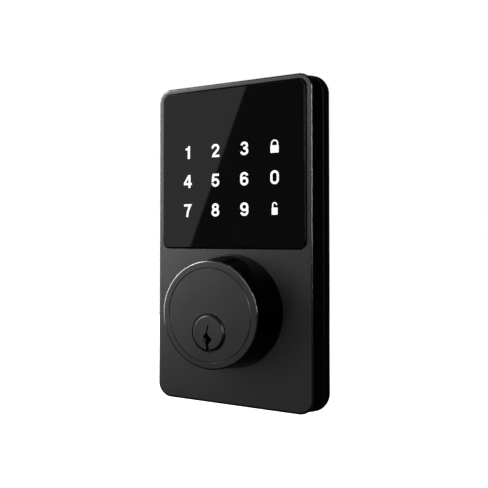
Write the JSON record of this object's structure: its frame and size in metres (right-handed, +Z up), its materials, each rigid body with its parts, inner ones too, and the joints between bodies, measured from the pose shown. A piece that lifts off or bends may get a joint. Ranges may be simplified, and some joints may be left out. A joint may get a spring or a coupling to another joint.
{
  "type": "keypad smart lock",
  "caption": "Outside unit of a keypad smart lock: black plate with touch-glass keypad, key cylinder in a free-turning guard collar, threaded posts and a torque blade.",
  "frame": {"origin": "on the door's face, on the key plug's axis, half way between the two threaded posts", "axes": "+Z up, +X to the right seen from the front, +Y into the door along the posts; the keypad faces -Y"},
  "size_m": [0.0732, 0.0849, 0.1332],
  "materials": {
    "plate_coat": "satin black coat on die-cast zinc",
    "collar_coat": "satin black coat on steel",
    "cylinder_coat": "satin black coat on die-cast zinc",
    "plug_coat": "brass with a worn black finish",
    "housing_plastic": "fine-grained moulded plastic",
    "base_coat": "black e-coat on die-cast zinc",
    "seal_rubber": "black EPDM",
    "touch_glass": "glossy toughened glass printed black behind",
    "tape_foam": "acrylic foam tape",
    "guide_acrylic": "white diffusing acrylic",
    "led_white": "clear lens over yellow phosphor",
    "board_mask": "green solder mask with copper pads",
    "chip_epoxy": "black moulded epoxy",
    "shield_tin": "tinned steel can",
    "buzzer_plastic": "black moulded plastic",
    "socket_nylon": "natural nylon",
    "washer_nylon": "black nylon",
    "zinc_steel": "zinc-plated steel",
    "blade_steel": "stamped steel",
    "cap_brass": "drawn brass",
    "pin_brass": "turned brass",
    "spring_steel": "stainless spring wire"
  },
  "bodies": {
    "lock_body": {"front_plate": "plate_coat", "cylinder_body": "cylinder_coat", "mid_housing": "housing_plastic", "rear_base": "base_coat", "housing_seal": "seal_rubber", "door_gasket": "seal_rubber", "cable_grommet": "seal_rubber", "touch_glass": "touch_glass", "glass_tape": "tape_foam", "light_guide": "guide_acrylic", "key_leds": "led_white", "touch_board": "board_mask", "touch_chip": "chip_epoxy", "radio_module": "shield_tin", "buzzer": "buzzer_plastic", "cable_socket": "socket_nylon", "collar_washer": "washer_nylon", "mounting_posts": "zinc_steel", "housing_screws": "zinc_steel", "board_screws": "zinc_steel", "cylinder_screws": "zinc_steel", "chamber_cap": "cap_brass", "pin_spring_1": "spring_steel", "pin_spring_2": "spring_steel", "pin_spring_3": "spring_steel", "pin_spring_4": "spring_steel", "pin_spring_5": "spring_steel"},
    "collar": {"guard_collar": "collar_coat"},
    "plug": {"key_plug": "plug_coat", "plug_clip": "zinc_steel"},
    "blade": {"torque_blade": "blade_steel"},
    "key_pin_1": {"key_pin_1": "pin_brass"},
    "driver_pin_1": {"driver_pin_1": "pin_brass"},
    "key_pin_2": {"key_pin_2": "pin_brass"},
    "driver_pin_2": {"driver_pin_2": "pin_brass"},
    "key_pin_3": {"key_pin_3": "pin_brass"},
    "driver_pin_3": {"driver_pin_3": "pin_brass"},
    "key_pin_4": {"key_pin_4": "pin_brass"},
    "driver_pin_4": {"driver_pin_4": "pin_brass"},
    "key_pin_5": {"key_pin_5": "pin_brass"},
    "driver_pin_5": {"driver_pin_5": "pin_brass"}
  },
  "joints": [
    {"name": "collar_spin", "type": "hinge", "parent": "lock_body", "child": "collar", "pos_m": [0, 0, 0.0067], "axis": [0, 1, 0], "continuous": true},
    {"name": "plug_turn", "type": "hinge", "parent": "lock_body", "child": "plug", "pos_m": [0, 0, 0], "axis": [0, 1, 0], "range_deg": [-90, 90]},
    {"name": "blade_turn", "type": "hinge", "parent": "plug", "child": "blade", "pos_m": [0, 0, 0], "axis": [0, 1, 0], "range_deg": [0, 90]},
    {"name": "key_pin_1_lift", "type": "slide", "parent": "plug", "child": "key_pin_1", "axis": [0, 0, 1], "range_m": [0, 0.00298]},
    {"name": "key_pin_2_lift", "type": "slide", "parent": "plug", "child": "key_pin_2", "axis": [0, 0, 1], "range_m": [0, 0.00178]},
    {"name": "key_pin_3_lift", "type": "slide", "parent": "plug", "child": "key_pin_3", "axis": [0, 0, 1], "range_m": [0, 0.00338]},
    {"name": "key_pin_4_lift", "type": "slide", "parent": "plug", "child": "key_pin_4", "axis": [0, 0, 1], "range_m": [0, 0.00228]},
    {"name": "key_pin_5_lift", "type": "slide", "parent": "plug", "child": "key_pin_5", "axis": [0, 0, 1], "range_m": [0, 0.00278]},
    {"name": "driver_pin_1_lift", "type": "slide", "parent": "lock_body", "child": "driver_pin_1", "axis": [0, 0, 1], "range_m": [0, 0.003], "stiffness_N_per_m": 60, "springref_m": -0.004, "deforming": ["pin_spring_1"]},
    {"name": "driver_pin_2_lift", "type": "slide", "parent": "lock_body", "child": "driver_pin_2", "axis": [0, 0, 1], "range_m": [0, 0.003], "stiffness_N_per_m": 60, "springref_m": -0.004, "deforming": ["pin_spring_2"]},
    {"name": "driver_pin_3_lift", "type": "slide", "parent": "lock_body", "child": "driver_pin_3", "axis": [0, 0, 1], "range_m": [0, 0.003], "stiffness_N_per_m": 60, "springref_m": -0.004, "deforming": ["pin_spring_3"]},
    {"name": "driver_pin_4_lift", "type": "slide", "parent": "lock_body", "child": "driver_pin_4", "axis": [0, 0, 1], "range_m": [0, 0.003], "stiffness_N_per_m": 60, "springref_m": -0.004, "deforming": ["pin_spring_4"]},
    {"name": "driver_pin_5_lift", "type": "slide", "parent": "lock_body", "child": "driver_pin_5", "axis": [0, 0, 1], "range_m": [0, 0.003], "stiffness_N_per_m": 60, "springref_m": -0.004, "deforming": ["pin_spring_5"]}
  ]
}
